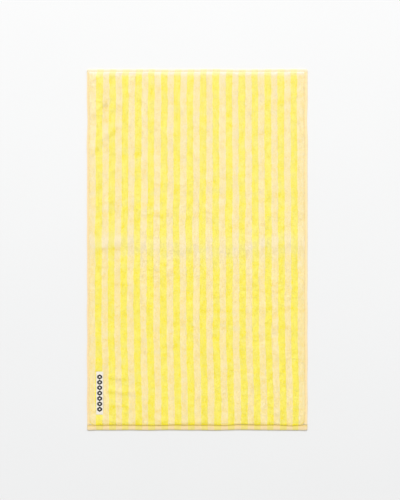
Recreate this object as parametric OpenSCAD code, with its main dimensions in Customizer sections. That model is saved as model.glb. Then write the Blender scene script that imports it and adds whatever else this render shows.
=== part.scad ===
// Striped terry towel: a ground cloth with loop pile on both sides, four turned hems,
// lockstitched seams and a woven label. Millimetres. X runs across the stripes, Y along
// them, Z up. The origin is the centre of the towel's footprint on the surface it lies on.

/* [Towel] */
// Width across the stripes
towel_w = 500; // [500:1:700]
// Length along the stripes
towel_l = 818; // [500:1:1400]

/* [Cloth] */
// Thickness of one layer of woven cloth without pile
cloth_t = 1; // [0.6:0.05:1.2]
// Gap between the layers of a folded edge
fold_gap = 0.05; // [0.05:0.01:0.1]
// Height of the loops on the face
face_pile_h = 2.1; // [1.6:0.1:4]
// Radius of the pile's two corners at the top end
top_corner_r = 4; // [1:0.5:12]
// Radius of the pile's two corners at the bottom end
bottom_corner_r = 12; // [1:0.5:18]

/* [Stripes] */
// Number of yellow stripes
stripe_count = 16; // [2:1:16]
// Width of a yellow stripe
yellow_w = 14.9; // [8:0.1:15]
// Width of a peach stripe between two yellow ones
peach_w = 14.5; // [8:0.1:15]
// Width from the left edge to the first yellow stripe, side hem included
left_band_w = 20; // [14:0.5:24]

/* [Hems] */
// Width of the flat hem at the top end
top_hem_w = 6.5; // [6:0.5:20]
// Width of the flat hem at the bottom end
bottom_hem_w = 12.5; // [6:0.5:20]
// Width of the left side hem
left_hem_w = 5; // [5:0.5:12]
// Width of the right side hem
right_hem_w = 7.5; // [5:0.5:12]
// Distance of a seam from the inner edge of its hem
seam_inset = 2; // [1.4:0.1:2.4]

/* [Sewing thread] */
// Thread diameter
thread_d = 0.4; // [0.3:0.05:0.5]
// Stitch length of the hem seams
hem_stitch = 4; // [3:0.5:6]
// Stitch length of the label seam
label_stitch = 3; // [2:0.5:4]
// Share of a stitch that shows before the thread goes down into the cloth
stitch_share = 0.78; // [0.5:0.02:0.9]

/* [Label] */
// Label width
label_w = 16; // [14.5:0.5:20]
// Label length
label_l = 97.5; // [84:0.5:120]
// Thickness of the label tape
label_tape_t = 0.35; // [0.25:0.05:0.4]
// Length of tape turned under at each end
label_turn = 6; // [4:0.5:10]
// Distance from the towel's left edge to the label
label_from_left = 20.5; // [20:0.5:40]
// Distance from the towel's bottom edge to the label
label_from_bottom = 35.5; // [20:0.5:120]
// Depth that the seam pulls the label's underside into the pile
label_sink = 1.2; // [1.2:0.05:1.5]
// Distance of the label seam from the label's edge
label_seam_inset = 1.2; // [0.8:0.1:2]
// Number of hexagons woven into the label
hexagon_count = 7; // [3:1:7]

/* [Hidden] */
hem_t = 3 * cloth_t + 2 * fold_gap;
ground_z = hem_t - cloth_t;
pile_z = hem_t;
face_top_z = pile_z + face_pile_h;
stripe_pitch = yellow_w + peach_w;
x_left = -towel_w / 2;
x_right = towel_w / 2;
y_bottom = -towel_l / 2;
y_top = towel_l / 2;
first_yellow_x = x_left + left_band_w;
last_yellow_end = first_yellow_x + stripe_count * stripe_pitch - peach_w;
field_w = towel_w - left_hem_w - right_hem_w;
field_l = towel_l - top_hem_w - bottom_hem_w;
groove_w = thread_d + 0.2;
face_groove_d = thread_d / 2;
back_groove_d = thread_d + 0.1;
back_pile_groove_w = 4 * thread_d;
back_pile_groove_d = 3 * thread_d;
label_x = x_left + label_from_left;
label_y = y_bottom + label_from_bottom;
label_z = face_top_z - label_sink;
label_t = 2 * label_tape_t + fold_gap;
label_pocket_gap = 0.5;
motif_t = 0.12;
motif_margin = 6;
hexagon_r = 5.6;
hexagon_wall = 3.6;
hexagon_point = 3;
hexagon_gap = 0.8;
cut = 1;
peach = [0.99, 0.90, 0.68];
yellow = [0.98, 0.93, 0.44];
flat_peach = [0.97, 0.88, 0.62];
thread_colour = [0.99, 0.93, 0.76];
$fn = 32;

// Square of side r with its far corner left as a quarter circle's waste
module corner_waste(r) {
    difference() {
        translate([-cut, -cut]) square(r + cut);
        translate([r, r]) circle(r);
    }
}

// Outline of the area inside the hems, with rounded corners, for the pile
module pile_outline() {
    translate([x_left + left_hem_w, y_bottom + bottom_hem_w]) difference() {
        square([field_w, field_l]);
        corner_waste(bottom_corner_r);
        translate([field_w, 0]) mirror([1, 0]) corner_waste(bottom_corner_r);
        translate([0, field_l]) mirror([0, 1]) corner_waste(top_corner_r);
        translate([field_w, field_l]) mirror([1, 0]) mirror([0, 1]) corner_waste(top_corner_r);
    }
}

// A strip of full length from x0 to x1
module strip(x0, x1) {
    translate([x0, y_bottom]) square([x1 - x0, towel_l]);
}

// The yellow stripes, or the peach ones with the two outer bands
module stripes(is_yellow) {
    if (is_yellow) {
        for (i = [0 : stripe_count - 1]) {
            x0 = first_yellow_x + i * stripe_pitch;
            strip(x0, x0 + yellow_w);
        }
    } else {
        strip(x_left, first_yellow_x);
        for (i = [0 : stripe_count - 2]) {
            x0 = first_yellow_x + yellow_w + i * stripe_pitch;
            strip(x0, x0 + peach_w);
        }
        strip(last_yellow_end, x_right);
    }
}

// Stripes of loops of one colour, h high from z
module pile(is_yellow, z, h) {
    translate([0, 0, z]) linear_extrude(h) intersection() {
        pile_outline();
        stripes(is_yellow);
    }
}

// Hollow where the label sits in the face pile
module label_pocket() {
    translate([label_x - label_pocket_gap, label_y - label_pocket_gap, label_z])
        cube([label_w + 2 * label_pocket_gap, label_l + 2 * label_pocket_gap, label_sink + cut]);
}

// Groove that the label's bobbin thread pulls into the back pile
module label_back_groove() {
    side = label_seam_inset - back_pile_groove_w / 2;
    inner = label_seam_inset + back_pile_groove_w / 2;
    translate([label_x, label_y, -cut]) linear_extrude(back_pile_groove_d + cut) difference() {
        translate([side, side]) square([label_w - 2 * side, label_l - 2 * side]);
        translate([inner, inner]) square([label_w - 2 * inner, label_l - 2 * inner]);
    }
}

// Section of a hem turned twice: folded edge at x = 0, stitched edge at x = w
module hem_section(w) {
    fold_r = hem_t / 2;
    turn_r = cloth_t + fold_gap / 2;
    seam_x = w - seam_inset;
    difference() {
        union() {
            translate([fold_r, hem_t - cloth_t]) square([w - fold_r, cloth_t]);
            translate([fold_r, 0]) square([w - fold_r - turn_r, cloth_t]);
            translate([fold_r + fold_gap, cloth_t + fold_gap])
                square([w - fold_r - fold_gap - turn_r, cloth_t]);
            half_ring(fold_r, fold_r, fold_r - cloth_t);
            translate([w, 0]) mirror([1, 0]) half_ring(turn_r, turn_r, fold_gap / 2);
        }
        translate([seam_x - groove_w / 2, hem_t - face_groove_d]) square([groove_w, cut]);
        translate([seam_x - groove_w / 2, -cut]) square([groove_w, back_groove_d + cut]);
    }
}

// Left half of a ring that rests on y = 0, with its outer edge at x = 0
module half_ring(centre_x, outer_r, inner_r) {
    translate([centre_x, outer_r]) intersection() {
        difference() {
            circle(outer_r);
            circle(inner_r);
        }
        translate([-2 * outer_r, -outer_r]) square([2 * outer_r, 2 * outer_r]);
    }
}

// A hem across the whole width, with its folded edge at the bottom end
module end_hem(w) {
    translate([x_left, y_bottom, 0]) rotate([90, 0, 90]) linear_extrude(towel_w) hem_section(w);
}

// A hem between the two end hems, with its folded edge at the left
module side_hem(w) {
    translate([x_left, y_top - top_hem_w, 0]) rotate([90, 0, 0])
        linear_extrude(field_l) hem_section(w);
}

// A row of stitches along +X from the origin, over a seam of the given length
module stitch_row(length, pitch) {
    count = floor(length / pitch);
    start = (length - count * pitch) / 2 + pitch * (1 - stitch_share) / 2;
    for (i = [0 : count - 1]) {
        translate([start + i * pitch, 0, 0]) rotate([0, 90, 0])
            cylinder(h = pitch * stitch_share, d = thread_d);
    }
}

needle_z = hem_t - face_groove_d + thread_d / 2;
bobbin_z = back_groove_d - thread_d / 2;

// Stitches of an end hem at height z, for a hem of width w at the bottom end
module end_seam(w, z) {
    translate([x_left, y_bottom + w - seam_inset, z]) stitch_row(towel_w, hem_stitch);
}

// Stitches of a side hem at height z, for a hem of width w at the left
module side_seam(w, z) {
    translate([x_left + w - seam_inset, y_bottom + bottom_hem_w, z])
        rotate([0, 0, 90]) stitch_row(field_l, hem_stitch);
}

// Stitches around the label at height z
module label_seam(z) {
    long = label_l - 2 * label_seam_inset;
    short = label_w - 2 * label_seam_inset;
    translate([label_x + label_seam_inset, label_y + label_seam_inset, z]) {
        for (y = [0, long]) translate([0, y, 0]) stitch_row(short, label_stitch);
        for (x = [0, short]) translate([x, 0, 0]) rotate([0, 0, 90]) stitch_row(long, label_stitch);
    }
}

module ground_cloth() {
    color(flat_peach)
        translate([x_left + left_hem_w, y_bottom + bottom_hem_w, ground_z])
            cube([field_w, field_l, cloth_t]);
}

module face_pile_yellow() {
    color(yellow) difference() {
        pile(true, pile_z, face_pile_h);
        label_pocket();
    }
}

module face_pile_peach() {
    color(peach) difference() {
        pile(false, pile_z, face_pile_h);
        label_pocket();
    }
}

module back_pile_yellow() {
    color(yellow) difference() {
        pile(true, 0, ground_z);
        label_back_groove();
    }
}

module back_pile_peach() {
    color(peach) difference() {
        pile(false, 0, ground_z);
        label_back_groove();
    }
}

module top_hem() {
    color(flat_peach) mirror([0, 1, 0]) end_hem(top_hem_w);
}

module bottom_hem() {
    color(flat_peach) end_hem(bottom_hem_w);
}

module left_side_hem() {
    color(flat_peach) side_hem(left_hem_w);
}

module right_side_hem() {
    color(flat_peach) mirror([1, 0, 0]) side_hem(right_hem_w);
}

module top_hem_needle_thread() {
    color(thread_colour) mirror([0, 1, 0]) end_seam(top_hem_w, needle_z);
}

module top_hem_bobbin_thread() {
    color(thread_colour) mirror([0, 1, 0]) end_seam(top_hem_w, bobbin_z);
}

module bottom_hem_needle_thread() {
    color(thread_colour) end_seam(bottom_hem_w, needle_z);
}

module bottom_hem_bobbin_thread() {
    color(thread_colour) end_seam(bottom_hem_w, bobbin_z);
}

module left_hem_needle_thread() {
    color(thread_colour) side_seam(left_hem_w, needle_z);
}

module left_hem_bobbin_thread() {
    color(thread_colour) side_seam(left_hem_w, bobbin_z);
}

module right_hem_needle_thread() {
    color(thread_colour) mirror([1, 0, 0]) side_seam(right_hem_w, needle_z);
}

module right_hem_bobbin_thread() {
    color(thread_colour) mirror([1, 0, 0]) side_seam(right_hem_w, bobbin_z);
}

// Tape with both ends turned under
module woven_label() {
    color("white") translate([label_x, label_y, label_z]) {
        translate([0, 0, label_t - label_tape_t]) cube([label_w, label_l, label_tape_t]);
        for (end = [0, 1]) {
            tab_y = end * (label_l - label_turn);
            fold_y = end * (label_l - label_tape_t);
            translate([0, tab_y, 0]) cube([label_w, label_turn, label_tape_t]);
            translate([0, fold_y, 0]) cube([label_w, label_tape_t, label_t]);
        }
    }
}

// A chain of outlined hexagons that point to each other
module label_motif() {
    step = (label_l - 2 * motif_margin) / hexagon_count;
    color([0.13, 0.14, 0.16])
        translate([label_x + label_w / 2, label_y + motif_margin, label_z + label_t]) {
            for (i = [0 : hexagon_count - 1]) {
                translate([0, (i + 0.5) * step, 0]) outlined_hexagon((step - hexagon_gap) / 2);
            }
        }
}

module outlined_hexagon(half_l) {
    inner_r = hexagon_r - hexagon_wall;
    inner_point = hexagon_point * inner_r / hexagon_r;
    linear_extrude(motif_t) difference() {
        hexagon(hexagon_r, half_l, hexagon_point);
        hexagon(inner_r, half_l - hexagon_wall, inner_point);
    }
}

// A hexagon with two sides along Y and its points on the Y axis
module hexagon(r, half_l, point) {
    side = half_l - point;
    polygon([[-r, -side], [0, -half_l], [r, -side], [r, side], [0, half_l], [-r, side]]);
}

module label_needle_thread() {
    color(thread_colour) label_seam(label_z + label_t + thread_d / 2);
}

module label_bobbin_thread() {
    color(thread_colour) label_seam(back_pile_groove_d - thread_d / 2);
}

ground_cloth();
face_pile_yellow();
face_pile_peach();
back_pile_yellow();
back_pile_peach();
top_hem();
bottom_hem();
left_side_hem();
right_side_hem();
top_hem_needle_thread();
top_hem_bobbin_thread();
bottom_hem_needle_thread();
bottom_hem_bobbin_thread();
left_hem_needle_thread();
left_hem_bobbin_thread();
right_hem_needle_thread();
right_hem_bobbin_thread();
woven_label();
label_motif();
label_needle_thread();
label_bobbin_thread();
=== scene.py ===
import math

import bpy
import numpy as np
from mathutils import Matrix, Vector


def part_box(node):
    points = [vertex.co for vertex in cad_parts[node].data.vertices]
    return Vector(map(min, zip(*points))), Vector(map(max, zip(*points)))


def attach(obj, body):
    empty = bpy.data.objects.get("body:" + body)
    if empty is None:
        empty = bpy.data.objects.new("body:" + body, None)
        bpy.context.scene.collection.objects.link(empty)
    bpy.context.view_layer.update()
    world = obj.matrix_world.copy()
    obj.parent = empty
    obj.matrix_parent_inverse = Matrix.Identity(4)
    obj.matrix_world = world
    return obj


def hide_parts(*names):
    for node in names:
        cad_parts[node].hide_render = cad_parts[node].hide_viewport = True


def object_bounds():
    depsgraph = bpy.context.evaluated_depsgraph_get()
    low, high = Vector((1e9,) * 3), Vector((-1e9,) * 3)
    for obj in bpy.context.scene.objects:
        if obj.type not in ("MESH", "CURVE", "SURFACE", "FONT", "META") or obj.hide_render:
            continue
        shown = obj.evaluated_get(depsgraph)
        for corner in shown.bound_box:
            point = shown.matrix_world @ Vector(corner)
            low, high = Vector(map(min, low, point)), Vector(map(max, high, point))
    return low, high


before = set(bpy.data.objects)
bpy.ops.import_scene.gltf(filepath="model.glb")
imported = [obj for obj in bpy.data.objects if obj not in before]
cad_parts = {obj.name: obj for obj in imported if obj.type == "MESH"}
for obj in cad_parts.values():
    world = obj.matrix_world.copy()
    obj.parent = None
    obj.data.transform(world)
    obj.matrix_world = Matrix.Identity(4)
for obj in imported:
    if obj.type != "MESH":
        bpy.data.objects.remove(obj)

# A striped terry towel lying flat on a pale floor, seen from straight above.
# Every piece is built in the cloth's own flat coordinates: u runs across the stripes, v along
# them, and w is the height above the middle of the ground cloth. place() then puts a point on
# the towel as it lies, with its creases and with the stripes wandering a little. Lengths are in
# metres, except where a comment says millimetres.

cad_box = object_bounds()
MM = 0.001  # Blender's unit is the metre

# ---------------------------------------------------------------- sizes from the frame

towel_lo, towel_hi = cad_box
field_lo, field_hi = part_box("ground_cloth")
HALF_W = round(towel_hi.x / MM)  # half the towel's width and length, in millimetres
HALF_L = round(towel_hi.y / MM)
GROUND_MID = (field_lo.z + field_hi.z) / 2
CLOTH_T = field_hi.z - field_lo.z
FACE_W = CLOTH_T / 2  # w of the ground cloth's two sides
BACK_W = -CLOTH_T / 2
FACE_PILE_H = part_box("face_pile_yellow")[1].z - field_hi.z
BACK_PILE_H = field_lo.z
HEM_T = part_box("bottom_hem")[1].z
BOTTOM_HEM_W = field_lo.y - towel_lo.y
TOP_HEM_W = towel_hi.y - field_hi.y
LEFT_HEM_W = field_lo.x - towel_lo.x
RIGHT_HEM_W = towel_hi.x - field_hi.x
LABEL_LO, LABEL_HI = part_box("woven_label")
MOTIF_LO, MOTIF_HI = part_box("label_motif")
FIRST_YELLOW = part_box("face_pile_yellow")[0].x

STRIPES = 16  # yellow ones
YELLOW_W = 14.9 * MM
PEACH_W = 14.5 * MM
PITCH = YELLOW_W + PEACH_W
FOLD_GAP = 0.05 * MM  # between the layers of a hem
THREAD_R = 0.2 * MM
TOP_CORNER_R = 4 * MM  # of the pile
BOTTOM_CORNER_R = 12 * MM
TOWEL_CORNER_R = 2.5 * MM

# ---------------------------------------------------------------- how the towel lies


def hump(distance, width):
    """1 at distance 0, falling smoothly to 0 past width."""
    return np.exp(-((distance / width) ** 2))


def humps(x, places):
    """The sum of humps, each given by its place, height and width."""
    return sum(height * hump(x - place, width) for place, height, width in places)


def smooth(x, start, end):
    """0 before start, 1 after end, smooth between."""
    t = np.clip((x - start) / (end - start), 0, 1)
    return t * t * (3 - 2 * t)


RIPPLE_WAVES = 18
RIPPLE_SPREAD = (0.7, 1.4)  # shortest and longest wave, as a share of the wavelength


def ripples(u, v, seed, wavelength, stretch=1.0):
    """Even random waves of about one wavelength, of unit size, longer along v by stretch.

    The seed tells one set of waves from another, so every call has its own.
    """
    rng = np.random.default_rng(seed)
    turn = rng.uniform(0, 2 * math.pi, RIPPLE_WAVES)
    size = 2 * math.pi / (wavelength * rng.uniform(*RIPPLE_SPREAD, RIPPLE_WAVES))
    phase = rng.uniform(0, 2 * math.pi, RIPPLE_WAVES)
    total = 0
    for a, k, p in zip(turn, size, phase):
        total = total + np.sin(k * (np.cos(a) * u + np.sin(a) * v / stretch) + p)
    return total / math.sqrt(RIPPLE_WAVES / 2)


def fold(u, v, start, end, height, width, lee=0.5):
    """A soft ridge from start to end in millimetres, its lower side narrower by lee."""
    (u0, v0), (u1, v1) = start, end
    length = math.hypot(u1 - u0, v1 - v0)
    du, dv = (u1 - u0) / length, (v1 - v0) / length
    along = (u - u0) * du + (v - v0) * dv
    across = (v - v0) * du - (u - u0) * dv
    side = np.where(across > 0, width, width * lee)
    fade = smooth(along, -0.15 * length, 0.25 * length)
    fade = fade * (1 - smooth(along, 0.75 * length, 1.15 * length))
    return height * fade * hump(across, side)


# All lengths in this section are in millimetres on the cloth, unless MM is named.

# Small folds: start and end, height and width
FOLDS = [
    ((-135, 84), (-35, 77), 0.6, 12),
    ((-110, 152), (-20, 147), 0.6, 8),
    ((-40, -132), (90, -138), 0.6, 13),
    ((80, -134), (235, -129), 0.75, 13),
    ((-240, 218), (-176, 292), 2.0, 13),
    ((-244, 300), (-196, 352), 1.4, 9),
    ((-246, 381), (-222, 392), 0.9, 5),
    ((-206, -288), (-150, -292), 1.3, 8),
    ((-208, -318), (-140, -326), 1.5, 9),
    ((-206, -351), (-150, -353), 1.2, 8),
    ((60, 190), (170, 196), 0.5, 10),
]

# Dents in the pile: place, depth and width
DENTS = [
    (-180, 306, 1.5, 12), (-208, 318, 1.2, 9), (-212, 292, 1.2, 9),
    (71, 305, 1.3, 8), (46, -201, 1.0, 8), (-240, 40, 0.9, 10),
]

# A short sharp crease: start and end, depth and width
SHARP_CREASE = ((-228, 2), (-158, -2), 0.35, 4)

# The storage crease, a low ridge across the whole towel
CREASE_V = 13  # where it lies along the stripes
CREASE_H = 1.2
CREASE_SWELLS = [(-192, 1.1, 40), (212, 0.8, 30), (20, 0.3, 60)]  # place, height, width
CREASE_UPPER_W, CREASE_LOWER_W = 24, 14
CREASE_END = 14  # over which it dies away at the side hems

# Where the painted highlight runs along the crease, and how strong it is there
CREST_V = 16
CREST_BENDS = [(10, -15, 130), (-190, 5, 50)]
CREST_UPPER_W, CREST_LOWER_W = 19, 26
CREST_HIGHLIGHT = 0.34

EDGE_CALM = (2, 26)  # the relief grows between these distances from the edge
LABEL_CALM = 12 * MM  # and over this distance from the label
REST_LIFT = 0.9  # height of the middle above flat, so that the ripples have room
EDGE_DROP = 0.8  # how much lower the edge lies than that


def dents(u, v):
    """How deep the dents and the sharp crease are, in millimetres."""
    total = fold(u / MM, v / MM, *SHARP_CREASE)
    for dent_x, dent_y, depth, width in DENTS:
        total = total + depth * hump(np.hypot(u / MM - dent_x, v / MM - dent_y), width)
    return total


def off_label(u, v):
    """0 under the label, which keeps the cloth flat, and 1 from a little way outside it."""
    out_u = np.maximum(LABEL_LO.x - u, u - LABEL_HI.x)
    out_v = np.maximum(LABEL_LO.y - v, v - LABEL_HI.y)
    return smooth(np.maximum(out_u, out_v), 0, LABEL_CALM)


def lift(u, v):
    """Height of the cloth above where it would lie if it were flat."""
    x, y = u / MM, v / MM
    middle = CREASE_V + 2.5 * np.sin(x / 70) + 1.5 * np.sin(x / 27 + 1) - 7 * hump(x - 20, 110)
    height = CREASE_H + humps(x, CREASE_SWELLS)
    height = height * smooth(HALF_W - np.abs(x), 0, CREASE_END)
    h = height * hump(y - middle, np.where(y > middle, CREASE_UPPER_W, CREASE_LOWER_W))
    for one_fold in FOLDS:
        h = h + fold(x, y, *one_fold)
    h = h - dents(u, v)
    full = smooth(np.minimum(HALF_W - np.abs(x), HALF_L - np.abs(y)), *EDGE_CALM)
    full = full * (0.2 + 0.8 * off_label(u, v))
    small = 0.13 + 0.16 * hump(x + HALF_W, 60)  # the left edge is the most uneven
    relief = 0.28 * ripples(u, v, 3, 70 * MM) + small * ripples(u, v, 5, 26 * MM)
    h = h + REST_LIFT + full * relief - EDGE_DROP * (1 - full)
    return np.maximum(h, 0) * MM


def highlight_and_patches(u, v):
    """Painted highlight with random pale patches and streaks, 0 to 1: most by the top hem, then
    along the storage crease, and more over the upper half.
    """
    x, y = u / MM, v / MM
    crest = CREST_V + humps(x, CREST_BENDS)
    ridge = hump(y - crest, np.where(y > crest, CREST_UPPER_W, CREST_LOWER_W))
    ridge = ridge * (CREST_HIGHLIGHT + 0.05 * hump(x + 190, 70)) + 0.06 * hump(y - 10, 70)
    # painted highlight at the pile's edge by the top hem and over the upper half, the side towards
    # the softbox; the patches and streaks are random
    by_top_hem = 0.9 * smooth(y, 390, 402)
    upper_half = 0.23 * smooth(y, -130, 280)
    patches = 0.065 * ripples(u, v, 7, 34 * MM) + 0.03 * ripples(u, v, 9, 13 * MM, 2)
    streaks = 0.05 * ripples(u, v, 15, 6 * MM, 12)
    return np.clip(ridge + by_top_hem + upper_half + patches + streaks, 0, 1)


def drift(u, v):
    """How far the cloth is pulled sideways from its flat place. The outline stays straight."""
    x, y = u / MM, v / MM
    right = smooth(x, -230, 160)
    below_middle_left = -2.9 * hump(y + 115, 165) * hump(x + 150, 95)
    lower_right = 1.7 * smooth(x, -40, 120) * smooth(-y, -330, 40)
    bottom_end = 4.3 * (0.2 + 0.8 * right) * smooth(-y, 190, 350)
    bottom_right_corner = -2.0 * smooth(x, 170, 245) * smooth(-y, 250, 380)
    above_middle = -2.2 * hump(y - 55, 55) * hump(x + 10, 120)
    top_left = 1.2 * smooth(y, 220, 400) * (1 - right)
    top_hem = 2.0 * smooth(y, 398, 404) * (1 - 0.8 * smooth(x, -60, 230))
    left_of_label = -2.4 * hump(x + 232, 6) * hump(y + 322, 50)
    uneven = 0.35 * ripples(u, v, 11, 60 * MM, 1.4) + 0.2 * ripples(u, v, 13, 22 * MM)
    pull = below_middle_left + lower_right + bottom_end + bottom_right_corner
    pull = pull + above_middle + top_left + top_hem + left_of_label + uneven * off_label(u, v)
    return pull * smooth(HALF_W - np.abs(x), 2, 22) * MM


def edge_wave(u, v):
    """Small in and out movement of the outline, and of the seam of the bottom hem."""
    x, y = u / MM, v / MM
    out_u = np.sign(u) * smooth(np.abs(x), 200, HALF_W) * 0.35 * ripples(v * 0, v, 21, 90 * MM)
    out_v = np.sign(v) * smooth(np.abs(y), 370, HALF_L) * 0.3 * ripples(u, u * 0, 23, 80 * MM)
    seam_wave = 0.6 * ripples(u, u * 0, 25, 90 * MM) * hump(v - field_lo.y, 9 * MM)
    return out_u * MM, (out_v + seam_wave) * MM


def lie(u, v):
    """Where the middle of the cloth is at (u, v), and its slope along x and y."""
    step = 0.5 * MM  # over which the slope is measured
    slope_u = (lift(u + step, v) - lift(u - step, v)) / (2 * step)
    slope_v = (lift(u, v + step) - lift(u, v - step)) / (2 * step)
    out_u, out_v = edge_wave(u, v)
    base = np.stack([u + drift(u, v) + out_u, v + out_v, GROUND_MID + lift(u, v)], axis=-1)
    return base, np.stack([slope_u, slope_v], axis=-1)


def place(u, v, w):
    """The point w above the middle of the cloth at (u, v), as the towel lies."""
    u, v, w = np.broadcast_arrays(u, v, w)
    base, slope = lie(u, v)
    base[..., :2] -= w[..., None] * slope
    base[..., 2] += w
    return base


def place_flat(u, v, w):
    """The same for the label and its seam, which the cloth carries along without stretching."""
    u, v, w = np.broadcast_arrays(u, v, w)
    middle = (LABEL_LO + LABEL_HI) / 2
    shift = drift(np.array(middle.x), np.array(middle.y))
    return np.stack([u + shift, v, w + GROUND_MID + lift(u, v)], axis=-1)


# ---------------------------------------------------------------- meshes


def make_piece(name, points, faces, cloth, node, material, twist=None, marks=None):
    """A smooth piece from points, faces of 3 or 4 corners, and each point's (u, v, w).

    twist is the last result of tubes(), and marks are more numbers that the material reads.
    """
    mesh = bpy.data.meshes.new(name)
    sizes = np.concatenate([np.full(len(f), f.shape[1]) for f in faces])
    corners = np.concatenate([f.ravel() for f in faces])
    mesh.vertices.add(len(points))
    mesh.vertices.foreach_set("co", points.astype(np.float32).ravel())
    mesh.loops.add(len(corners))
    mesh.loops.foreach_set("vertex_index", corners.astype(np.int32))
    mesh.polygons.add(len(sizes))
    starts = np.concatenate([[0], np.cumsum(sizes)[:-1]])
    mesh.polygons.foreach_set("loop_start", starts.astype(np.int32))
    mesh.polygons.foreach_set("loop_total", sizes.astype(np.int32))
    mesh.polygons.foreach_set("use_smooth", np.ones(len(sizes), bool))
    mesh.update(calc_edges=True)
    mesh.validate()
    for vector, values in (("cloth", cloth), ("yarn", twist)):
        if values is not None:
            stored = mesh.attributes.new(vector, "FLOAT_VECTOR", "POINT")
            stored.data.foreach_set("vector", values.astype(np.float32).ravel())
    for mark, values in (marks or {}).items():
        stored = mesh.attributes.new(mark, "FLOAT", "POINT")
        stored.data.foreach_set("value", values.astype(np.float32))
    mesh.materials.append(material)
    piece = bpy.data.objects.new(name, mesh)
    bpy.context.scene.collection.objects.link(piece)
    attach(piece, "root")
    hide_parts(node)
    return piece


def outward(points, faces):
    """The faces of a watertight mesh, turned round if they point inwards."""
    volume = 0.0
    for f in faces:
        for i in range(1, f.shape[1] - 1):
            a, b, c = points[f[:, 0]], points[f[:, i]], points[f[:, i + 1]]
            volume += (a * np.cross(b, c)).sum()
    return [f[:, ::-1] for f in faces] if volume < 0 else faces


def grid_faces(rows, columns, first=0, flip=False):
    """Quads of a grid of points stored row by row, from point number first."""
    at = first + np.arange(rows * columns).reshape(rows, columns)
    quads = np.stack([at[:-1, :-1], at[:-1, 1:], at[1:, 1:], at[1:, :-1]], axis=-1).reshape(-1, 4)
    return quads[:, ::-1] if flip else quads


def tubes(centres, across, radii, sides):
    """Closed tubes with pointed ends along many short lines at once.

    centres is (tube, point, 3), across a unit vector per tube that its line has no part of,
    and radii the radius at each inner point. The last result is (distance along, cos, sin) of
    each point round its tube.
    """
    count, length, _ = centres.shape
    along = np.gradient(centres, axis=1)[:, 1:-1]
    along /= np.linalg.norm(along, axis=-1, keepdims=True)
    sideways = np.broadcast_to(across[:, None], along.shape)
    up = np.cross(sideways, along)
    angle = 2 * np.pi * np.arange(sides) / sides
    ring = (
        np.cos(angle)[:, None] * up[:, :, None] + np.sin(angle)[:, None] * sideways[:, :, None]
    )
    rings = centres[:, 1:-1, None] + np.asarray(radii)[..., :, None, None] * ring
    inner = (length - 2) * sides
    points = np.concatenate(
        [centres[:, :1], rings.reshape(count, inner, 3), centres[:, -1:]], axis=1
    )
    at = 1 + np.arange(inner).reshape(length - 2, sides)
    nxt = np.roll(at, -1, axis=1)
    quads = np.stack([at[:-1], nxt[:-1], nxt[1:], at[1:]], axis=-1).reshape(-1, 4)
    tip = np.stack([np.zeros(sides, int), nxt[0], at[0]], axis=-1)
    end = np.stack([np.full(sides, inner + 1), at[-1], nxt[-1]], axis=-1)
    each = np.arange(count)[:, None, None] * (inner + 2)
    faces = [(quads + each).reshape(-1, 4), (np.concatenate([tip, end]) + each).reshape(-1, 3)]
    steps = np.linalg.norm(np.diff(centres, axis=1), axis=2)
    way = np.concatenate([np.zeros((count, 1)), np.cumsum(steps, axis=1)], axis=1)
    way = np.concatenate([way[:, :1], np.repeat(way[:, 1:-1], sides, axis=1), way[:, -1:]], axis=1)
    turned = np.concatenate([[0], np.tile(angle, length - 2), [0]])
    twist = np.stack([way, *np.broadcast_arrays(np.cos(turned), np.sin(turned), way)[:2]], axis=-1)
    return points.reshape(-1, 3), faces, inner + 2, twist.reshape(-1, 3)


# ---------------------------------------------------------------- materials


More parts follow.
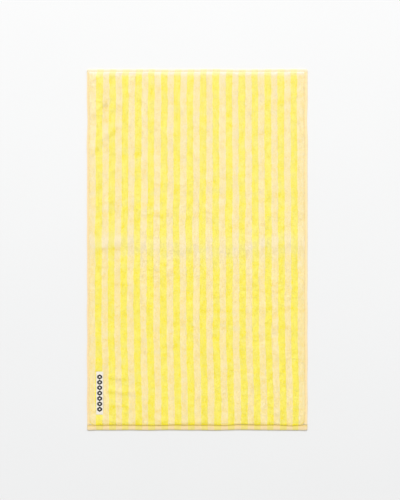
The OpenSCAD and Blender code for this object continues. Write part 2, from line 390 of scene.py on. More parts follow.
class Look:
    """A Principled material under construction, with short calls for its nodes."""

    def __init__(self, name, sheen, specular):
        self.material = bpy.data.materials.new(name)
        self.material.use_nodes = True
        self.tree = self.material.node_tree
        self.shader = next(n for n in self.tree.nodes if n.type == "BSDF_PRINCIPLED")
        self.shader.inputs["Sheen Weight"].default_value = sheen
        self.shader.inputs["Sheen Roughness"].default_value = 0.5
        self.shader.inputs["Specular IOR Level"].default_value = specular

    def node(self, kind, inputs=None, **settings):
        """A new node with its inputs fed and its settings set."""
        n = self.tree.nodes.new(kind)
        for key, value in settings.items():
            setattr(n, key, value)
        for key, value in (inputs or {}).items():
            self.feed(n, key, value)
        return n

    def feed(self, node, key, value):
        """Links value to an input if it is a socket, and stores it if it is a number or colour."""
        if isinstance(value, bpy.types.NodeSocket):
            self.tree.links.new(value, node.inputs[key])
        else:
            node.inputs[key].default_value = value

    def cloth(self):
        """The (u, v, w) of the point."""
        return self.node("ShaderNodeAttribute", attribute_name="cloth").outputs["Vector"]

    def mark(self, name):
        """One of the numbers stored at each point by make_piece()."""
        return self.node("ShaderNodeAttribute", attribute_name=name).outputs["Fac"]

    def split(self, vector):
        """The parts of a vector, by the names X, Y and Z."""
        return self.node("ShaderNodeSeparateXYZ", {0: vector}).outputs

    def ply(self, turn):
        """The grooves between the plies of a twisted yarn, which go round once in a turn."""
        twist = self.node("ShaderNodeAttribute", attribute_name="yarn").outputs["Vector"]
        way, cos, sin = self.split(twist)
        phase = self.math("MULTIPLY", way, 2 * math.pi / turn)
        one = self.math("MULTIPLY", self.math("SINE", phase), cos)
        other = self.math("MULTIPLY", self.math("COSINE", phase), sin)
        return self.math("ADD", one, other)

    def math(self, operation, a, b=0.0):
        """The result of one operation on one or two numbers."""
        return self.node("ShaderNodeMath", {0: a, 1: b}, operation=operation).outputs[0]

    def wave(self, value, length):
        """A sine wave of the given length along value."""
        return self.math("SINE", self.math("MULTIPLY", value, 2 * math.pi / length))

    def noise(self, vector, scale, detail=2.0):
        """Smooth noise from 0 to 1, with scale waves a metre."""
        inputs = {"Vector": vector, "Scale": scale, "Detail": detail}
        return self.node("ShaderNodeTexNoise", inputs).outputs["Fac"]

    def uneven(self, vector, scale, low, high, detail=2.0):
        """Noise that fills low..high."""
        return self.span(self.noise(vector, scale, detail), 0.3, 0.7, low, high)

    def span(self, value, low, high, out_low, out_high):
        """value from low..high rescaled to out_low..out_high, and held inside it."""
        inputs = {0: value, 1: low, 2: high, 3: out_low, 4: out_high}
        return self.node("ShaderNodeMapRange", inputs).outputs[0]

    def mix(self, factor, a, b, how="MIX"):
        """Colour a where factor is 0, blended with colour b where it is 1."""
        n = self.node("ShaderNodeMix", data_type="RGBA", blend_type=how)
        for key, value in ((0, factor), (6, a), (7, b)):
            self.feed(n, key, value)
        return n.outputs[2]

    def tint(self, colour, value):
        """The colour made brighter or darker by value."""
        return self.node("ShaderNodeHueSaturation", {"Color": colour, "Value": value}).outputs[0]

    def bump(self, height, strength, distance):
        """Makes the surface bumpy by height, where 1 stands for distance."""
        n = self.node(
            "ShaderNodeBump", {"Height": height, "Strength": strength, "Distance": distance}
        )
        self.feed(self.shader, "Normal", n.outputs[0])

    def colour(self, value):
        """Sets the finished colour."""
        self.feed(self.shader, "Base Color", value)

    def rough(self, value):
        """Sets the finished roughness."""
        self.feed(self.shader, "Roughness", value)


# Colours of the cotton: plain at the tips; deep for painted shade towards the roots and in shaded
# places, and for random tone from loop to loop; pale for painted highlight and random pale patches
YELLOW = (0.975, 0.895, 0.225, 1)
YELLOW_TONE_AND_SHADE = (0.96, 0.83, 0.035, 1)
YELLOW_HIGHLIGHT_AND_PATCH = (0.935, 0.862, 0.44, 1)
PEACH = (0.98, 0.87, 0.53, 1)
PEACH_TONE_AND_SHADE = (0.96, 0.78, 0.26, 1)
PEACH_HIGHLIGHT_AND_PATCH = (0.94, 0.848, 0.68, 1)
GROUND_PEACH = (0.95, 0.83, 0.52, 1)
GROUND_YELLOW = (0.93, 0.85, 0.28, 1)
# Of the flat hems, the same cloth in lit and shaded copies: the bottom one darkest, the side ones
# lighter in peach, and the top one palest, as a painted highlight
HEM_YELLOW = (0.765, 0.65, 0.195, 1)
HEM_PEACH = (0.79, 0.625, 0.35, 1)
HEM_PEACH_SIDE_LIT = (0.89, 0.71, 0.425, 1)
HEM_YELLOW_HIGHLIGHT = (0.82, 0.765, 0.42, 1)
HEM_PEACH_HIGHLIGHT = (0.84, 0.75, 0.56, 1)
SEAM_SHADE_TINT = (1.12, 0.98, 0.1, 1)  # painted shade: warms and deepens the cloth in the groove where a seam squeezes it
# Threads and yarn, with painted shade in their grooves
HEM_THREAD = (0.93, 0.64, 0.17, 1)
HEM_THREAD_GROOVE_SHADE = (0.78, 0.50, 0.10, 1)
LABEL_THREAD = (0.80, 0.80, 0.78, 1)
LABEL_THREAD_GROOVE_SHADE = (0.66, 0.66, 0.64, 1)
MOTIF_YARN = (0.018, 0.021, 0.025, 1)
MOTIF_YARN_GROOVE_SHADE = (0.008, 0.009, 0.011, 1)
TAPE_WHITE = (0.80, 0.75, 0.655, 1)
FLOOR_GREY = (0.755, 0.755, 0.755, 1)
# How far the yarn or thread runs in one turn of its plies
PILE_TURN = 1.3 * MM
THREAD_TURN = 0.8 * MM
MOTIF_TURN = 0.9 * MM


def terry(name, tip, root, pale):
    """Cotton loops: painted shade towards the root and where the uneven mark is low, random tone
    from loop to loop, and painted highlight with pale patches by the highlight_and_patches mark.
    """
    look = Look(name, sheen=0.12, specular=0.15)
    cloth = look.cloth()
    w = look.math("ABSOLUTE", look.split(cloth)["Z"])
    # painted shade: the colour goes deep towards each loop's root, standing in for the shade
    # between the loops
    rise = look.span(w, FACE_W, FACE_W + 0.75 * FACE_PILE_H, 0.0, 1.0)
    patch = look.uneven(cloth, 70.0, -0.3, 0.3, 3.0)
    loop = look.math("SUBTRACT", look.math("MULTIPLY", look.mark("uneven"), 0.95), 0.6)
    share = look.math("ADD", rise, look.math("ADD", patch, loop))
    colour = look.mix(look.math("MINIMUM", look.math("MAXIMUM", share, 0.0), 1.0), root, tip)
    # painted highlight, with random pale patches
    colour = look.mix(look.mark("highlight_and_patches"), colour, pale)
    look.colour(look.tint(colour, look.uneven(cloth, 700.0, 0.97, 1.02)))
    look.rough(look.uneven(cloth, 900.0, 0.86, 1.0))
    look.bump(look.ply(PILE_TURN), 0.4, 0.05 * MM)
    return look.material


def flat_weave(name, peach, yellow):
    """Striped plain weave without loops, as on the hems and under the pile."""
    look = Look(name, sheen=0.1, specular=0.2)
    cloth = look.cloth()
    parts = look.split(cloth)
    turns = look.math("DIVIDE", look.math("SUBTRACT", parts["X"], FIRST_YELLOW), PITCH)
    inside = look.math("LESS_THAN", look.math("FRACT", turns), YELLOW_W / PITCH)
    counted = look.math("LESS_THAN", turns, STRIPES)
    counted = look.math("MULTIPLY", counted, look.math("GREATER_THAN", turns, 0.0))
    colour = look.mix(look.math("MULTIPLY", inside, counted), peach, yellow)
    weave = look.math("MULTIPLY", look.wave(parts["X"], 0.9 * MM), look.wave(parts["Y"], 0.7 * MM))
    shade = look.uneven(cloth, 160.0, 0.95, 1.03, 3.0)
    # shade here is random tone; the weave term paints shade in the weave's hollows and highlight
    # on its crests
    colour = look.tint(colour, look.math("MULTIPLY", shade, look.span(weave, -1, 1, 0.93, 1.04)))
    # painted shade in the seam's groove
    look.colour(look.mix(look.mark("seam"), colour, SEAM_SHADE_TINT, "MULTIPLY"))
    look.rough(look.span(weave, -1, 1, 0.95, 0.8))
    look.bump(weave, 0.4, 0.04 * MM)
    return look.material


def yarn(name, base, dark, turn, sheen=0.1, specular=0.3):
    """Twisted sewing thread: fine plies that go round once in a turn."""
    look = Look(name, sheen=sheen, specular=specular)
    ply = look.ply(turn)
    # painted shade in the grooves between the plies
    look.colour(look.mix(look.span(ply, -1, 1, 0.0, 1.0), dark, base))
    look.rough(look.span(ply, -1, 1, 0.7, 0.5))
    look.bump(ply, 0.5, 0.04 * MM)
    return look.material


def label_tape(name):
    """White satin tape with fine cross ribs."""
    look = Look(name, sheen=0.1, specular=0.4)
    cloth = look.cloth()
    parts = look.split(cloth)
    rib = look.wave(parts["Y"], 0.4 * MM)
    warp = look.wave(parts["X"], 0.5 * MM)
    look.colour(look.tint(TAPE_WHITE, look.uneven(cloth, 300.0, 0.97, 1.0)))
    look.rough(look.span(rib, -1, 1, 0.6, 0.42))
    look.bump(look.math("ADD", rib, look.math("MULTIPLY", warp, 0.4)), 0.4, 0.05 * MM)
    return look.material


def floor_look():
    """Pale matt paint."""
    look = Look("floor_paint", sheen=0.0, specular=0.1)
    spot = look.node("ShaderNodeTexCoord").outputs["Object"]
    look.colour(look.tint(FLOOR_GREY, look.span(look.noise(spot, 3.0), 0, 1, 0.99, 1.01)))
    look.rough(look.span(look.noise(spot, 40.0), 0, 1, 0.75, 0.9))
    return look.material


terry_yellow = terry("terry_yellow", YELLOW, YELLOW_TONE_AND_SHADE, YELLOW_HIGHLIGHT_AND_PATCH)
terry_peach = terry("terry_peach", PEACH, PEACH_TONE_AND_SHADE, PEACH_HIGHLIGHT_AND_PATCH)
ground_look = flat_weave("ground_weave", GROUND_PEACH, GROUND_YELLOW)
hem_look = flat_weave("hem_weave", HEM_PEACH, HEM_YELLOW)
side_hem_look = flat_weave("side_hem_weave", HEM_PEACH_SIDE_LIT, HEM_YELLOW)
top_hem_highlight_look = flat_weave("top_hem_weave_highlight", HEM_PEACH_HIGHLIGHT, HEM_YELLOW_HIGHLIGHT)
hem_thread = yarn("hem_thread", HEM_THREAD, HEM_THREAD_GROOVE_SHADE, THREAD_TURN)
label_thread = yarn("label_thread", LABEL_THREAD, LABEL_THREAD_GROOVE_SHADE, THREAD_TURN)
dark_yarn = yarn("dark_yarn", MOTIF_YARN, MOTIF_YARN_GROOVE_SHADE, MOTIF_TURN, sheen=0, specular=0.12)
tape = label_tape("label_tape")

# ---------------------------------------------------------------- ground cloth


def ground_cloth():
    """The woven base between the hems, as a sealed sheet with a little body."""
    step = 6 * MM
    columns = round((field_hi.x - field_lo.x) / step) + 1
    rows = round((field_hi.y - field_lo.y) / step) + 1
    u, v = np.meshgrid(
        np.linspace(field_lo.x, field_hi.x, columns), np.linspace(field_lo.y, field_hi.y, rows)
    )
    layers = [np.stack([u, v, np.full_like(u, w)], axis=-1) for w in (BACK_W, FACE_W)]
    cloth = np.concatenate([layer.reshape(-1, 3) for layer in layers])
    count = rows * columns
    at = np.arange(count).reshape(rows, columns)
    rim = np.concatenate([at[0, :-1], at[:-1, -1], at[-1, :0:-1], at[:0:-1, 0]])
    after = np.roll(rim, -1)
    walls = np.stack([rim, after, after + count, rim + count], axis=-1)
    faces = [grid_faces(rows, columns, 0, True), grid_faces(rows, columns, count), walls]
    points = place(cloth[:, 0], cloth[:, 1], cloth[:, 2])
    return make_piece(
        "ground_weave", points, faces, cloth, "ground_cloth", ground_look
    )


# ---------------------------------------------------------------- loops

# The loops of each side: whether it is the face, how many pieces each colour makes, the distance
# between loops across and along the stripes, and the yarn's radius
LOOP_SETS = (
    ("face", True, 9, 1.85 * MM, 2.0 * MM, 0.62 * MM),
    ("back", False, 2, 3.7 * MM, 4.0 * MM, 1.05 * MM),
)
LOOP_SIDES = 4
LOOP_HEIGHTS = (0.84, 1.06)  # shares of the pile's height
LOOP_LEAN = 0.25  # as a share of its height, to any side
LOOP_FALL = 0.1  # and the same of every loop, towards the bottom hem
LOOP_TURN = 0.8  # in radians
LOOP_HALF_SPANS = (0.9, 1.3)  # shares of half the distance along
LOOP_THICKNESS = (0.88, 1.1)  # shares of the yarn's radius
LABEL_PRESS = 0.36  # height under the label, as a share of the pile's
BACK_LIMIT = 0.97  # greatest height on the back, where the floor is
MAT_STEP = 1.6 * MM
MAT_HEIGHTS = (0.25, 0.62)  # shares of the pile's height

PILE_OVERHANG = 0.7 * MM  # how far the face pile bulges over the bottom hem
ROUND_OFF = (0.3 * MM, 4 * MM)  # over which the pile rounds off at the bottom hem
ROUND_OFF_SIDES = (6 * MM, 12 * MM)  # over which that ends along the side hems
BOTTOM_LOSS = 0.4  # of its height that the pile loses at the bottom hem
TOP_LOSS, TOP_LOSS_REACH = 0.58, 8 * MM  # and at the top hem
# How much painted shade the pile gets: on the slope, in the dents, along the sharp crease once
# more, and at the bottom hem
SHADE_SLOPE, SHADE_DENT, SHADE_CREASE, SHADE_HEM = 1.4, 0.4, 1.2, 0.85


def spans(is_yellow):
    """The (start, end) of each stripe of one colour, inside the side hems."""
    starts = FIRST_YELLOW + PITCH * np.arange(STRIPES)
    if is_yellow:
        return [(s, s + YELLOW_W) for s in starts]
    between = [(s + YELLOW_W, s + PITCH) for s in starts[:-1]]
    return [(field_lo.x, starts[0]), *between, (starts[-1] + YELLOW_W, field_hi.x)]


def in_pile(u, v):
    """True inside the pile's outline with its round corners."""
    inside = (u > field_lo.x) & (u < field_hi.x) & (v > field_lo.y) & (v < field_hi.y)
    from_side = np.minimum(u - field_lo.x, field_hi.x - u)
    for from_end, r in ((v - field_lo.y, BOTTOM_CORNER_R), (field_hi.y - v, TOP_CORNER_R)):
        corner = (from_side < r) & (from_end < r)
        inside &= ~(corner & (np.hypot(r - from_side, r - from_end) > r))
    return inside


def under_label(u, v):
    """True where the label presses the pile down."""
    margin = 0.4 * MM
    inside_u = (u > LABEL_LO.x - margin) & (u < LABEL_HI.x + margin)
    return inside_u & (v > LABEL_LO.y - margin) & (v < LABEL_HI.y + margin)


def by_bottom_hem(u, v):
    """1 at the bottom hem, where the pile rounds off and is given painted shade, 0 past 4 mm."""
    r = BOTTOM_CORNER_R
    from_end = v - field_lo.y
    from_side = np.minimum(np.minimum(u - field_lo.x, field_hi.x - u), r)
    inside = np.where(from_end < r, r - np.hypot(r - from_side, r - from_end), from_end)
    return (1 - smooth(inside, *ROUND_OFF)) * (1 - smooth(from_end, *ROUND_OFF_SIDES))


def bulged(u, v):
    """v of the face pile where it bulges unevenly over the bottom hem."""
    return v - PILE_OVERHANG * (1 + 0.7 * ripples(u, u * 0, 27, 60 * MM)) * by_bottom_hem(u, v)


def pile_share(u, v):
    """The pile's height as a share of its full height: less along both end hems."""
    by_top_hem = 1 - smooth(field_hi.y - v, 0, TOP_LOSS_REACH)
    return 1 - BOTTOM_LOSS * by_bottom_hem(u, v) - TOP_LOSS * by_top_hem


def painted_shade(u, v, slope):
    """Painted shade on the pile: on slopes that rise towards the top hem and face away from the
    softbox, in the dents, along the sharp crease and at the bottom hem.
    """
    deep = SHADE_DENT * dents(u, v) + SHADE_CREASE * fold(u / MM, v / MM, *SHARP_CREASE)
    return SHADE_SLOPE * slope[..., 1] + deep + SHADE_HEM * by_bottom_hem(u, v)


def loop_roots(rng, stripe_spans, across, along):
    """Where the loops of some stripes start: even rows, every other one shifted, all uneven."""
    found = []
    rows = round((field_hi.y - field_lo.y) / along)
    for start, end in stripe_spans:
        columns = max(1, round((end - start) / across))
        gap = (end - start) / columns
        u = start + (np.arange(columns) + 0.5) * gap
        v = field_lo.y + (np.arange(rows) + 0.25) * along
        u, v = np.meshgrid(u, v)
        v = v + 0.5 * along * (np.arange(columns) % 2)
        u = u + rng.normal(0, 0.16 * gap, u.shape)
        v = v + rng.normal(0, 0.14 * along, v.shape)
        v = np.clip(v, field_lo.y + 0.2 * MM, field_hi.y - 0.2 * MM)
        found.append(np.stack([u.ravel(), v.ravel()]))
    u, v = np.concatenate(found, axis=1)
    keep = in_pile(u, v)
    return u[keep], v[keep]


def loops(name, node, material, stripe_spans, face, across, along, yarn_r, seed):
    """The loops of some stripes as one piece: each is a watertight arch of yarn with hidden feet.
    """
    rng = np.random.default_rng(seed)
    u, v = loop_roots(rng, stripe_spans, across, along)
    count = len(u)
    height = (FACE_PILE_H if face else BACK_PILE_H) * rng.uniform(*LOOP_HEIGHTS, count)
    if face:
        height = np.where(under_label(u, v), LABEL_PRESS * FACE_PILE_H, height)
        height = height * pile_share(u, v)
    else:
        height = np.minimum(height, BACK_LIMIT * BACK_PILE_H)
    lean_u = 0.1 * ripples(u, v, 31, 24 * MM) + rng.normal(0, LOOP_LEAN, count)
    lean_v = 0.1 * ripples(u, v, 33, 24 * MM) + rng.normal(0, LOOP_LEAN, count) - LOOP_FALL
    turn = rng.normal(0, LOOP_TURN, count)
    half = 0.5 * along * rng.uniform(*LOOP_HALF_SPANS, count)
    curl = yarn_r * rng.normal(0, 0.5, (count, 2))
    reach = half[:, None] * np.array([-0.5, -0.9, 0, 0.9, 0.5])
    aside = np.column_stack([0 * half, curl[:, 0], 0 * half, curl[:, 1], 0 * half])
    foot = np.full(count, -0.25 * CLOTH_T)
    rise = np.stack([foot, 0.55 * height, height - yarn_r, 0.55 * height, foot], axis=1)
    cos, sin = np.cos(turn)[:, None], np.sin(turn)[:, None]
    local_u = aside * cos - reach * sin + lean_u[:, None] * rise
    local_v = aside * sin + reach * cos + lean_v[:, None] * rise
    side = 1 if face else -1
    local_w = side * (FACE_W + rise)
    base, slope = lie(u, bulged(u, v) if face else v)
    raised = local_w + local_u * slope[:, :1] + local_v * slope[:, 1:]
    centres = base[:, None] + np.stack(
        [local_u - local_w * slope[:, :1], local_v - local_w * slope[:, 1:], raised], axis=-1
    )
    sideways = np.column_stack([cos, sin, np.zeros(count)])
    radii = yarn_r * np.array([0.95, 1.1, 0.95]) * rng.uniform(*LOOP_THICKNESS, count)[:, None]
    points, faces, each, twist = tubes(centres, side * sideways, radii, LOOP_SIDES)
    if not face:
        points[:, 2] = np.maximum(points[:, 2], 0)
    root = np.repeat(np.stack([u, v], axis=-1), each, axis=0)
    cloth = np.column_stack([root, points[:, 2] - np.repeat(base[:, 2], each)])
    marks = {
        # uneven: random tone from loop to loop, less the painted shade
        "uneven": np.repeat(rng.uniform(0, 1, count) - painted_shade(u, v, slope), each),
        # painted highlight and random pale patches, on the face only
        "highlight_and_patches": np.repeat(highlight_and_patches(u, v), each) * (1 if face else 0),
    }
    return make_piece(name, points, faces, cloth, node, material, twist, marks)


def root_mat(name, node, material, stripe_spans, seed):
    """The dense lower half of the pile, where the loops crowd together, as one bumpy mat."""
    rows = round((field_hi.y - field_lo.y) / MAT_STEP) + 1
    grids, faces, first = [], [], 0
    for start, end in stripe_spans:
        columns = round((end - start) / MAT_STEP) + 1
        u, v = np.meshgrid(
            np.linspace(start, end, columns), np.linspace(field_lo.y, field_hi.y, rows)
        )
        grids.append(np.stack([u.ravel(), v.ravel()]))
        faces.append(grid_faces(rows, columns, first))
        first += rows * columns
    u, v = np.concatenate(grids, axis=1)
    faces = np.concatenate(faces)
    faces = faces[in_pile(u, v)[faces].any(axis=1)]
    used, faces = np.unique(faces, return_inverse=True)
    faces = [faces.reshape(-1, 4)]
    u, v = u[used], v[used]
    rng = np.random.default_rng(seed)
    edge = np.minimum(
        np.minimum(u - field_lo.x, field_hi.x - u), np.minimum(v - field_lo.y, field_hi.y - v)
    )
    full = smooth(edge, -0.2 * MM, 1.2 * MM) * in_pile(u, v)
    full = full * np.where(under_label(u, v), 0.4, 1.0) * pile_share(u, v)
    w = FACE_W + FACE_PILE_H * full * rng.uniform(*MAT_HEIGHTS, len(u))
    cloth = np.column_stack([u, v, w])
    # random tone from point to point, less the painted shade
    uneven = rng.uniform(0, 1, len(u)) - painted_shade(u, v, lie(u, v)[1])
    # the uneven mark carries random tone less painted shade; the other carries painted highlight
    # and pale patches
    marks = {"uneven": uneven, "highlight_and_patches": highlight_and_patches(u, v)}
    points = place(u, bulged(u, v), w)
    return make_piece(name, points, faces, cloth, node, material, None, marks)


def pile():
    """All the loops, each colour and side in a few pieces of neighbouring stripes."""
    made = []
    seed = 100
    looks = (("yellow", True, terry_yellow), ("peach", False, terry_peach))
    for colour, is_yellow, material in looks:
        stripe_spans = spans(is_yellow)
        made.append(
            root_mat(f"face_roots_{colour}", f"face_pile_{colour}", material,
                     stripe_spans, 90 + is_yellow)
        )
        for side, face, groups, across, along, yarn_r in LOOP_SETS:
            bounds = np.linspace(0, len(stripe_spans), groups + 1).astype(int)
            for part in range(groups):
                seed += 1
                made.append(
                    loops(
                        f"{side}_loops_{colour}_{part + 1}", f"{side}_pile_{colour}",
                        material,
                        stripe_spans[bounds[part]:bounds[part + 1]],
                        face, across, along, yarn_r, seed,
                    )
                )
    return made


# ---------------------------------------------------------------- folded cloth


def ribbon_outline(path, thickness):
    """The two sides of a strip of cloth that follows path, as points on each side."""
    along = np.gradient(path, axis=0)
    along /= np.linalg.norm(along, axis=1, keepdims=True)
    off = np.column_stack([-along[:, 1], along[:, 0]]) * thickness / 2
    return path + off, path - off


def sweep_ribbon(path, thickness, stations):
    """A ribbon's section carried along stations: returns (station, s, z) points and faces."""
    one, other = ribbon_outline(path, thickness)
    ring = np.concatenate([one, other[::-1]])
    count, size = len(stations), len(ring)
    points = np.concatenate(
        [np.repeat(stations, size)[:, None], np.tile(ring, (count, 1))], axis=1
    )
    at = np.arange(count * size).reshape(count, size)
    around = np.roll(at, -1, axis=1)
    walls = np.stack([at[:-1], around[:-1], around[1:], at[1:]], axis=-1).reshape(-1, 4)
    half = len(path)
    i = np.arange(half - 1)
    cap = np.stack([i, size - 1 - i, size - 2 - i, i + 1], axis=-1)
    caps = np.concatenate([cap, (cap + (count - 1) * size)[:, ::-1]])
    return points, [walls, caps]


def arc(centre, radius, start, end):
    """Points on an arc, from one angle to another in degrees."""
    a = np.radians(np.linspace(start, end, 9))
    return np.column_stack([centre[0] + radius * np.cos(a), centre[1] + radius * np.sin(a)])


def line(a, b):
    """Points a millimetre apart on the line from a to b."""
    count = max(2, round(abs(b[0] - a[0]) / MM) + 1)
    return np.column_stack([np.linspace(a[0], b[0], count), np.linspace(a[1], b[1], count)])


def hem_path(width):
    """Middle line of the cloth in a twice-turned hem, from the towel's face to the raw edge."""
    outer = HEM_T / 2 - CLOTH_T / 2
    inner = (CLOTH_T + FOLD_GAP) / 2
    high, low, mid = HEM_T - CLOTH_T / 2, CLOTH_T / 2, 1.5 * CLOTH_T + FOLD_GAP
    turn_s = width - inner - CLOTH_T / 2
    return np.concatenate([
        line((width, high), (HEM_T / 2, high))[:-1],
        arc((HEM_T / 2, HEM_T / 2), outer, 90, 270)[:-1],
        line((HEM_T / 2, low), (turn_s, low))[:-1],
        arc((turn_s, low + inner), inner, -90, 90)[:-1],
        line((turn_s, mid), (HEM_T / 2 + 4 * FOLD_GAP, mid)),
    ])


# How much each seam squeezes its hem, as a share of the thickness
SQUEEZE = {"top": 0.07, "bottom": 0.33, "left": 0.08, "right": 0.12}
# How much lower the folded edge of each hem lies than its middle, as a share of the thickness
PRESSED = {"top": 0.0, "bottom": 0.11, "left": 0.15, "right": 0.15}
PRESSED_REACH = 3.5 * MM
CURL = 1.7  # share of the pressing taken back at a corner: above 1, the edge stands up there
CURL_REACH = (5 * MM, 22 * MM)
HEM_UNEVEN = 0.03  # as a share of the thickness
GROOVE_W = 3.4 * MM
GROOVE_SHIFT = -0.4 * MM  # of the groove's middle from the seam, below 0 if nearer the edge
HEM_STITCH = 4 * MM
STITCH_SHARE = 0.78  # of a stitch's length that shows
STITCH_DIP = 0.3 * MM
NEEDLE_SINK = 0.1 * MM  # into the face of the hem
BOBBIN_Z = 0.42 * MM


def hem(name, node, width, start, end, seam_s, to_cloth, round_ends):
    """A hem along stations from start to end. to_cloth turns (station, s) into (u, v)."""
    stations = np.linspace(start, end, round((end - start) / (2 * MM)) + 1)
    points, faces = sweep_ribbon(hem_path(width), CLOTH_T - FOLD_GAP, stations)
    at, s, z = points.T
    if round_ends:
        near = np.maximum(TOWEL_CORNER_R - np.minimum(at - start, end - at), 0)
        s = np.maximum(s, TOWEL_CORNER_R - np.sqrt(TOWEL_CORNER_R**2 - near**2))
    u, v = to_cloth(at, s)
    pinch = 0.95 + 0.05 * np.cos(2 * math.pi * (at - start) / HEM_STITCH)
    groove = hump(s - seam_s - GROOVE_SHIFT, GROOVE_W)
    z = z * (1 - SQUEEZE[name] * pinch * groove)
    near_end = 1 - smooth(np.minimum(at - start, end - at), *CURL_REACH)
    pressed = PRESSED[name] * (1 - CURL * near_end)
    z = z * (1 - pressed * (1 - smooth(s, 0, PRESSED_REACH)))
    z = z * (1 + HEM_UNEVEN * ripples(u, v, 51, 16 * MM) * smooth(z, 0.5 * HEM_T, HEM_T))
    w = z - GROUND_MID
    placed = place(u, v, w)
    cloth = np.column_stack([u, v, w])
    # lit and shaded copies of one hem cloth: the top one carries a painted highlight
    look = {"top": top_hem_highlight_look, "bottom": hem_look}.get(name, side_hem_look)
    # the seam mark: where the painted shade of the seam's groove goes
    marks = {"seam": SQUEEZE[name] * groove**2}
    return make_piece(
        f"{name}_hem_fold", placed, outward(placed, faces), cloth, node, look,
        None, marks,
    )


def stitches(name, node, material, starts, heading, length, level, face, put=place):
    """Visible stitches of one thread: short arched threads whose ends go down into the cloth."""
    t = np.linspace(-0.5, 0.5, 7)
    shape = THREAD_R * (1 - 16 * t**4 + 0.3 * (1 - 4 * t**2))
    u = starts[:, :1] + heading[:, :1] * (t * length)
    v = starts[:, 1:] + heading[:, 1:] * (t * length)
    side = 1 if face else -1
    w = level + side * (shape - STITCH_DIP * (np.abs(t) > 0.45))
    w = np.broadcast_to(w, u.shape)
    centres = put(u, v, w)
    across = np.column_stack([heading[:, 1], -heading[:, 0], np.zeros(len(heading))])
    radii = THREAD_R * np.array([0.8, 1.05, 1.1, 1.05, 0.8])
    points, faces, each, twist = tubes(centres, across, radii, 6)
    if not face:
        points[:, 2] = np.maximum(points[:, 2], 0)
    faces = outward(points, faces)
    root = np.repeat(starts, each, axis=0)
    heading = np.repeat(heading, each, axis=0)
    base = np.repeat(put(starts[:, 0], starts[:, 1], level), each, axis=0)
    along = ((points - base)[:, :2] * heading).sum(axis=1)
    cloth = np.column_stack([root + heading * along[:, None], points[:, 2]])
    return make_piece(name, points, faces, cloth, node, material, twist)


def seam_starts(start, end, pitch):
    """Middles of the stitches on a straight seam."""
    count = math.floor((end - start) / pitch)
    first = start + ((end - start) - count * pitch) / 2
    return first + pitch * (np.arange(count) + 0.5)


def hems_and_seams():
    """The four hems, each with the two threads of its seam."""
    made = []
    for name, width, edge, inwards in (
        ("top", TOP_HEM_W, towel_hi.y, -1),
        ("bottom", BOTTOM_HEM_W, towel_lo.y, 1),
        ("left", LEFT_HEM_W, towel_lo.x, 1),
        ("right", RIGHT_HEM_W, towel_hi.x, -1),
    ):
        is_end = name in ("top", "bottom")
        node = f"{name}_hem" if is_end else f"{name}_side_hem"
        start, end = (towel_lo.x, towel_hi.x) if is_end else (field_lo.y, field_hi.y)
        low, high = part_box(f"{name}_hem_needle_thread")
        seam_at = (low.y + high.y) / 2 if is_end else (low.x + high.x) / 2

        def to_cloth(at, s):
            """The (u, v) of a point at a station, s from the outer edge."""
            across = edge + inwards * s
            return (at, across) if is_end else (across, at)

        made.append(
            hem(name, node, width, start, end, abs(seam_at - edge), to_cloth, is_end)
        )
        at = seam_starts(start, end, HEM_STITCH)
        across = np.full_like(at, seam_at)
        starts = np.column_stack([at, across] if is_end else [across, at])
        made += seam(name, starts, (1, 0) if is_end else (0, 1))
    return made


def seam(name, starts, direction):
    """The needle thread's stitches on the face and the bobbin thread's on the back."""
    heading = np.tile(direction, (len(starts), 1)).astype(float)
    made = []
    for thread, face in (("needle", True), ("bobbin", False)):
        node = f"{name}_hem_{thread}_thread"
        top = HEM_T * (1 - 0.9 * SQUEEZE[name])
        level = (top - NEEDLE_SINK if face else BOBBIN_Z) - GROUND_MID
        made.append(
            stitches(f"{name}_hem_{thread}_stitches", node, hem_thread,
                     starts, heading, STITCH_SHARE * HEM_STITCH, level, face)
        )
    return made


# ---------------------------------------------------------------- label

TAPE_T = 0.33 * MM
TAPE_TAB = 6 * MM  # how much of each end is turned under
TAPE_BULGE = 0.25 * MM
LABEL_STITCH = 3 * MM
LABEL_SEAM_INSET = 1.2 * MM
LABEL_SEAM_DIP = 0.16 * MM
LABEL_NEEDLE_SINK = 0.22 * MM

HEXAGONS = 7
HEXAGON_WALL = 3.6 * MM
HEXAGON_POINT = 3 * MM
HEXAGON_GAP = 0.8 * MM
FLOAT_R = 0.24 * MM
FLOAT_GAP = 0.42 * MM  # from one float to the next
FLOAT_SPREAD = 0.3 * MM  # how far a float reaches past the hexagon's edges
FLOAT_ARCH = MM * np.array([-0.05, 0.06, 0.13, 0.13, 0.06, -0.05])


def label():
    """White tape with both ends turned under, pulled down along its seam."""
    low, high = LABEL_LO.z - GROUND_MID, LABEL_HI.z - GROUND_MID
    top, under = high - TAPE_T / 2, low + TAPE_T / 2
    turn = (top - under) / 2
    v0, v1 = LABEL_LO.y + turn + TAPE_T / 2, LABEL_HI.y - turn - TAPE_T / 2
    path = np.concatenate([
        line((v0 + TAPE_TAB, under), (v0, under))[:-1],
        arc((v0, (top + under) / 2), turn, 270, 90)[:-1],
        line((v0, top), (v1, top))[:-1],
        arc((v1, (top + under) / 2), turn, 90, -90)[:-1],
        line((v1, under), (v1 - TAPE_TAB, under)),
    ])
    stations = np.linspace(LABEL_LO.x, LABEL_HI.x, 33)
    points, faces = sweep_ribbon(path, TAPE_T, stations)
    u, v, w = points.T
    w = w + label_relief(u, v)
    placed = place_flat(u, v, w)
    return make_piece(
        "label_tape", placed, outward(placed, faces), np.column_stack([u, v, w]), "woven_label",
        tape,
    )


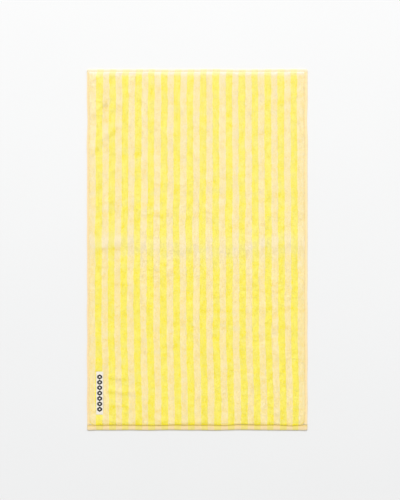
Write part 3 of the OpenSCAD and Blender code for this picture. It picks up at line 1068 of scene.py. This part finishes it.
def label_relief(u, v):
    """The label dips along its seam and bulges a little inside it."""
    from_u = np.minimum(u - LABEL_LO.x, LABEL_HI.x - u)
    from_v = np.minimum(v - LABEL_LO.y, LABEL_HI.y - v)
    inset = np.minimum(from_u, from_v)
    bulge = smooth(inset, LABEL_SEAM_INSET, 5 * MM)
    uneven = 0.6 + 0.4 * ripples(u, v, 41, 13 * MM)
    dip = LABEL_SEAM_DIP * hump(inset - LABEL_SEAM_INSET, 0.6 * MM)
    return TAPE_BULGE * bulge * uneven - dip


def label_motif():
    """A chain of hexagons, drawn by short dark floats of yarn across the tape."""
    middle = (MOTIF_LO.x + MOTIF_HI.x) / 2
    outer_r = (MOTIF_HI.x - MOTIF_LO.x) / 2
    inner_r = outer_r - HEXAGON_WALL
    step_v = (MOTIF_HI.y - MOTIF_LO.y + HEXAGON_GAP) / HEXAGONS
    low_v = MOTIF_LO.y - HEXAGON_GAP / 2
    half_l = (step_v - HEXAGON_GAP) / 2
    slant = outer_r / HEXAGON_POINT
    floats = []
    for v in np.arange(MOTIF_LO.y + FLOAT_GAP / 2, MOTIF_HI.y, FLOAT_GAP):
        from_middle = abs((v - low_v) / step_v % 1 - 0.5) * step_v
        outer = min(outer_r, (half_l - from_middle) * slant) + FLOAT_SPREAD
        inner = min(inner_r, (half_l - HEXAGON_WALL - from_middle) * slant) - FLOAT_SPREAD
        if outer > 0.3 * MM and inner > 0:
            floats += [(-outer, -inner, v), (inner, outer, v)]
        elif outer > 0.3 * MM:
            floats.append((-outer, outer, v))
    ends = np.array(floats)
    t = np.array([0, 0.08, 0.35, 0.65, 0.92, 1])
    u = middle + ends[:, :1] + (ends[:, 1:2] - ends[:, :1]) * t
    v = np.broadcast_to(ends[:, 2:], u.shape)
    w = LABEL_HI.z - GROUND_MID + label_relief(u, v) + FLOAT_ARCH
    across = np.tile([0.0, 1.0, 0.0], (len(u), 1))
    radii = FLOAT_R * np.array([0.8, 1, 1, 0.8])
    points, faces, _, twist = tubes(place_flat(u, v, w), across, radii, 5)
    return make_piece(
        "motif_floats", points, outward(points, faces), points, "label_motif",
        dark_yarn, twist,
    )


def label_seam():
    """The stitches round the label, on its face and on the towel's back."""
    u0, u1 = LABEL_LO.x + LABEL_SEAM_INSET, LABEL_HI.x - LABEL_SEAM_INSET
    v0, v1 = LABEL_LO.y + LABEL_SEAM_INSET, LABEL_HI.y - LABEL_SEAM_INSET
    starts, heading = [], []
    for u in (u0, u1):
        for v in seam_starts(v0, v1, LABEL_STITCH):
            starts.append((u, v))
            heading.append((0, 1))
    for v in (v0, v1):
        for u in seam_starts(u0, u1, LABEL_STITCH):
            starts.append((u, v))
            heading.append((1, 0))
    starts, heading = np.array(starts), np.array(heading, float)
    made = []
    face_level = LABEL_HI.z - GROUND_MID - LABEL_NEEDLE_SINK
    back_level = sum(c.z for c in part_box("label_bobbin_thread")) / 2 - GROUND_MID
    for thread, face, level in (("needle", True, face_level), ("bobbin", False, back_level)):
        made.append(
            stitches(f"label_{thread}_stitches", f"label_{thread}_thread",
                     label_thread, starts, heading, STITCH_SHARE * LABEL_STITCH, level, face,
                     place_flat)
        )
    return made


# ---------------------------------------------------------------- build the towel

base = ground_cloth()
others = pile() + hems_and_seams() + [label(), label_motif()] + label_seam()

# ---------------------------------------------------------------- floor, light and camera

FLOOR_HALF = 30.0
SKY_COLOUR = (0.97, 0.985, 1.0, 1)
SKY_STRENGTH = 0.672
SOFTBOX_AT = (0.0, 5.1, 6.2)
SOFTBOX_SIZE = 2.4
SOFTBOX_WATTS = 475
SOFTBOX_COLOUR = (1.0, 0.99, 0.975)
# The camera looks straight down, and the towel lies a little left of the middle of its view
CAMERA_AT = (6.125 * MM, -0.635 * MM, 3.2)
VIEW_LENGTH = 1134.3 * MM  # how much of the floor shows along the view's longer side
SENSOR = 36  # width in millimetres, as for the lens

floor_mesh = bpy.data.meshes.new("floor")
floor_mesh.from_pydata(
    [(x * FLOOR_HALF, y * FLOOR_HALF, 0) for x, y in ((-1, -1), (1, -1), (1, 1), (-1, 1))],
    [], [(0, 1, 2, 3)],
)
floor_mesh.materials.append(floor_look())
floor = bpy.data.objects.new("floor", floor_mesh)
bpy.context.scene.collection.objects.link(floor)

world = bpy.data.worlds.new("studio")
world.use_nodes = True
sky = next(n for n in world.node_tree.nodes if n.type == "BACKGROUND")
sky.inputs["Color"].default_value = SKY_COLOUR
sky.inputs["Strength"].default_value = SKY_STRENGTH
bpy.context.scene.world = world


def area_light(name, position, size, watts, colour):
    """A square light that shines on the middle of the towel."""
    data = bpy.data.lights.new(name, "AREA")
    data.shape, data.size, data.energy, data.color = "SQUARE", size, watts, colour
    lamp = bpy.data.objects.new(name, data)
    lamp.location = position
    aim = -np.array(position)
    yaw, pitch = math.atan2(aim[0], -aim[1]), math.atan2(math.hypot(aim[0], aim[1]), -aim[2])
    lamp.rotation_euler = (-pitch, 0, yaw)
    lamp.visible_camera = False
    bpy.context.scene.collection.objects.link(lamp)
    return lamp


area_light("softbox", SOFTBOX_AT, SOFTBOX_SIZE, SOFTBOX_WATTS, SOFTBOX_COLOUR)

lens_data = bpy.data.cameras.new("camera")
lens_data.sensor_width = SENSOR
lens_data.lens = SENSOR * CAMERA_AT[2] / VIEW_LENGTH
lens_data.clip_end = 200
camera = bpy.data.objects.new("camera", lens_data)
camera.location = CAMERA_AT
bpy.context.scene.collection.objects.link(camera)
bpy.context.scene.camera = camera
bpy.context.scene.view_settings.view_transform = "Standard"
